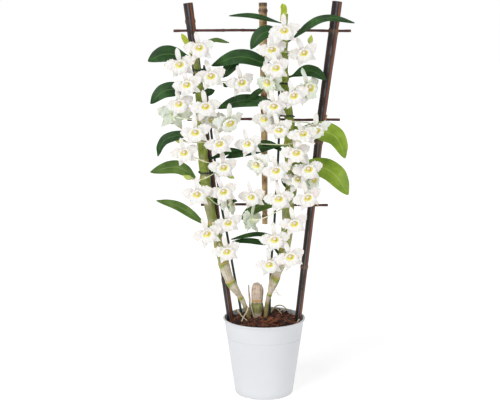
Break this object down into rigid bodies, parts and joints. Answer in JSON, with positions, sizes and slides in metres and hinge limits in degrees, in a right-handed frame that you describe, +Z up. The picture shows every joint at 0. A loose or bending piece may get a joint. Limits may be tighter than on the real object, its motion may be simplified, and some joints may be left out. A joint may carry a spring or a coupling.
{
  "type": "potted orchid on a bamboo trellis",
  "caption": "White star-flowered orchid with tall leafy canes tied to a fan-shaped bamboo trellis, growing in bark in a tapered white metal pot.",
  "frame": {"origin": "centre of the pot's flat underside", "axes": "+Z up along the pot's axis; -Y is the front, where the flowers face the viewer; +X is the viewer's right, along the trellis rods"},
  "size_m": [0.3114, 0.1308, 0.6171],
  "materials": {
    "pot_paint": "smooth matte white paint on thin sheet metal",
    "bark": "rough broken reddish-brown bark chips",
    "dark_bamboo": "dark stained bamboo with a dull sheen",
    "tan_bamboo": "mottled natural bamboo, charred at the top",
    "dark_twig": "thin dark red-brown twig",
    "green_wire": "dark green coated wire",
    "cane": "yellow-green fleshy stem under a pale papery sheath",
    "dry_sheath": "dry fibrous papery skin",
    "root": "pale corky aerial root",
    "dark_leaf": "dark green leathery leaf with a satin gloss",
    "light_leaf": "young light green leaf with a satin gloss",
    "petal": "soft matte warm-white petals with a yellow throat"
  },
  "bodies": {
    "root": {"bark_bed": "bark", "cane_left": "cane", "cane_right": "cane", "dried_stub": "dry_sheath", "leaf_left_1": "dark_leaf", "leaf_left_2": "dark_leaf", "leaf_left_3": "dark_leaf", "leaf_left_4": "dark_leaf", "leaf_left_5": "dark_leaf", "leaf_left_6": "dark_leaf", "leaf_left_tip": "light_leaf", "leaf_middle_1": "dark_leaf", "leaf_middle_2": "dark_leaf", "leaf_middle_3": "dark_leaf", "leaf_middle_4": "dark_leaf", "leaf_middle_5": "dark_leaf", "leaf_middle_6": "dark_leaf", "leaf_middle_7": "dark_leaf", "leaf_right_1": "dark_leaf", "leaf_right_2": "dark_leaf", "leaf_right_3": "light_leaf", "leaf_right_4": "light_leaf", "leaf_right_tip": "light_leaf", "old_cane_stump": "dry_sheath", "post_left": "dark_bamboo", "post_middle": "tan_bamboo", "post_right": "dark_bamboo", "pot": "pot_paint", "rod_bottom": "dark_twig", "rod_middle": "dark_twig", "rod_top": "dark_twig", "root_left": "root", "root_middle": "root", "spray_left_1": "petal", "spray_left_10": "petal", "spray_left_2": "petal", "spray_left_3": "petal", "spray_left_4": "petal", "spray_left_5": "petal", "spray_left_6": "petal", "spray_left_7": "petal", "spray_left_8": "petal", "spray_left_9": "petal", "spray_right_1": "petal", "spray_right_10": "petal", "spray_right_11": "petal", "spray_right_2": "petal", "spray_right_3": "petal", "spray_right_4": "petal", "spray_right_5": "petal", "spray_right_6": "petal", "spray_right_7": "petal", "spray_right_8": "petal", "spray_right_9": "petal", "stake_left": "green_wire", "stake_right": "green_wire", "tie_left_high": "green_wire", "tie_left_low": "green_wire", "tie_right_high": "green_wire", "tie_right_low": "green_wire"}
  },
  "joints": []
}
